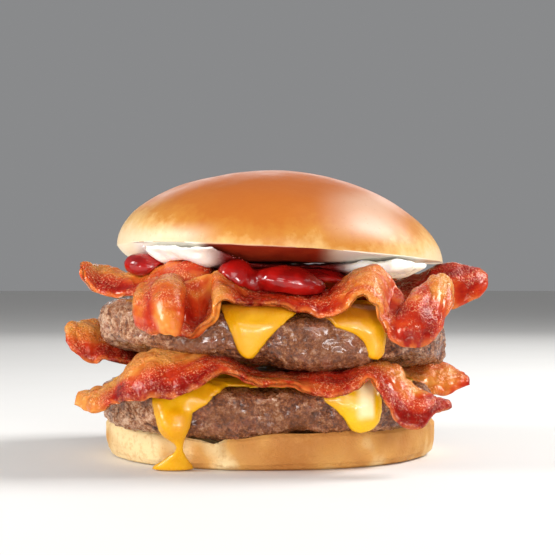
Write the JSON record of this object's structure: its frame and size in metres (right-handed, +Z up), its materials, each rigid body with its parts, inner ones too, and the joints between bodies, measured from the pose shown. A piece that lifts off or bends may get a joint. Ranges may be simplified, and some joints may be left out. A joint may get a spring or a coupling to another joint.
{
  "type": "bacon double cheeseburger",
  "caption": "Double cheeseburger: a glossy domed bun over seared beef patties with melted cheese, wavy bacon, ketchup and mayonnaise, one cheese run reaching the table.",
  "frame": {"origin": "middle of the heel's flat underside, on the table", "axes": "+Z up, +X to the right seen from the front, -Y towards the front of the picture"},
  "size_m": [0.1407, 0.1274, 0.0952],
  "materials": {
    "bread": "soft matte toasted bread",
    "crust": "smooth satin browned crust",
    "beef": "rough seared meat with glistening fat",
    "cheese": "glossy melted cheese",
    "bacon": "glossy fried meat with streaks of fat",
    "ketchup": "wet gloss",
    "mayonnaise": "creamy soft gloss"
  },
  "bodies": {
    "root": {"bun_heel": "bread", "bun_crown": "crust", "patty_lower": "beef", "patty_upper": "beef", "cheese_lower": "cheese", "cheese_upper": "cheese", "bacon_lower_front": "bacon", "bacon_lower_middle": "bacon", "bacon_lower_back": "bacon", "bacon_upper_front": "bacon", "bacon_upper_middle": "bacon", "bacon_upper_back": "bacon", "ketchup": "ketchup", "mayonnaise": "mayonnaise"}
  },
  "joints": []
}
